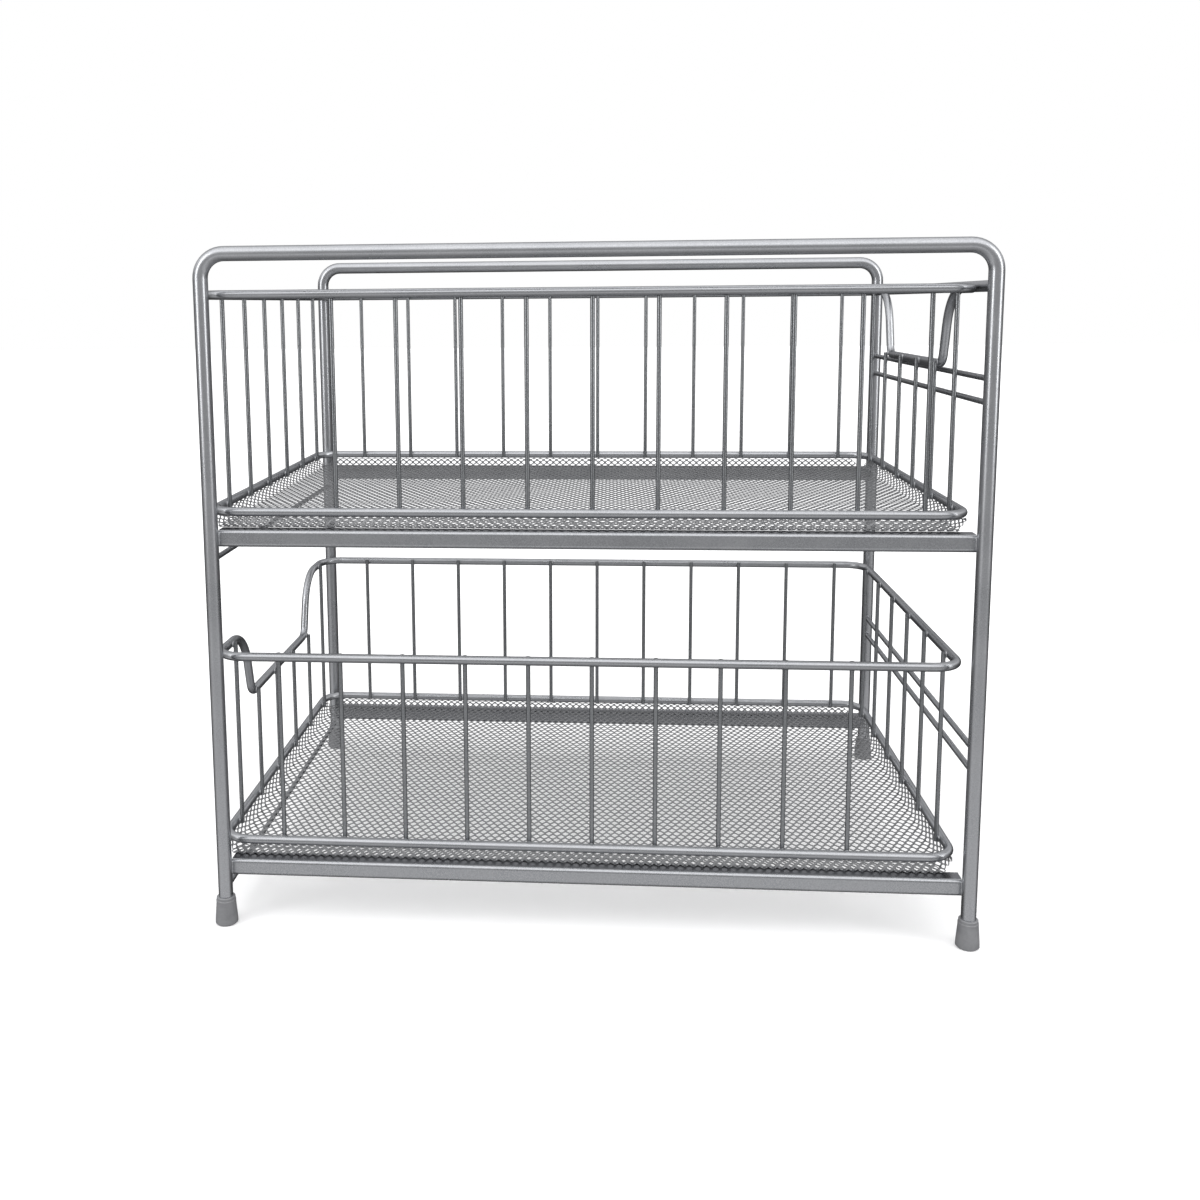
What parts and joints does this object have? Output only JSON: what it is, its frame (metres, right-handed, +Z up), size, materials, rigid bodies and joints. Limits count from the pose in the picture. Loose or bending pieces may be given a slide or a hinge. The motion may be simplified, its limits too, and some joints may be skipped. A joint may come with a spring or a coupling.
{
  "type": "two-tier organizer shelf",
  "caption": "Free-standing tiered organizer shelf: a bent-tube frame with square-tube rails carries sliding wire baskets with mesh floors and dipped rims.",
  "frame": {"origin": "on the floor under the middle of the frame", "axes": "+X to the back, -X to the front where the baskets pull out, +Y to the left side, +Z up"},
  "size_m": [0.4236, 0.2926, 0.3795],
  "materials": {
    "frame_steel": "satin silver-grey powder coat",
    "basket_wire": "satin silver-grey powder coat",
    "tray_mesh": "silver-grey coated diamond mesh",
    "foot_plastic": "moulded grey plastic, satin"
  },
  "bodies": {
    "frame": {"right_arch": "frame_steel", "left_arch": "frame_steel", "upper_right_rail": "frame_steel", "upper_left_rail": "frame_steel", "lower_right_rail": "frame_steel", "lower_left_rail": "frame_steel", "back_top_bar": "frame_steel", "upper_stop_high": "frame_steel", "upper_stop_low": "frame_steel", "lower_stop_high": "frame_steel", "lower_stop_low": "frame_steel", "upper_front_brace": "frame_steel", "lower_front_brace": "frame_steel", "front_right_foot": "foot_plastic", "front_left_foot": "foot_plastic", "back_right_foot": "foot_plastic", "back_left_foot": "foot_plastic"},
    "upper_basket": {"upper_rim": "basket_wire", "upper_ring": "basket_wire", "upper_right_wires": "basket_wire", "upper_left_wires": "basket_wire", "upper_front_wires": "basket_wire", "upper_back_wires": "basket_wire", "upper_hem": "tray_mesh", "upper_net": "tray_mesh"},
    "lower_basket": {"lower_rim": "basket_wire", "lower_ring": "basket_wire", "lower_right_wires": "basket_wire", "lower_left_wires": "basket_wire", "lower_front_wires": "basket_wire", "lower_back_wires": "basket_wire", "lower_hem": "tray_mesh", "lower_net": "tray_mesh"}
  },
  "joints": [
    {"name": "upper_basket_slide", "type": "slide", "parent": "frame", "child": "upper_basket", "axis": [-1, 0, 0], "range_m": [0, 0.19]},
    {"name": "lower_basket_slide", "type": "slide", "parent": "frame", "child": "lower_basket", "axis": [-1, 0, 0], "range_m": [0, 0.19]}
  ]
}
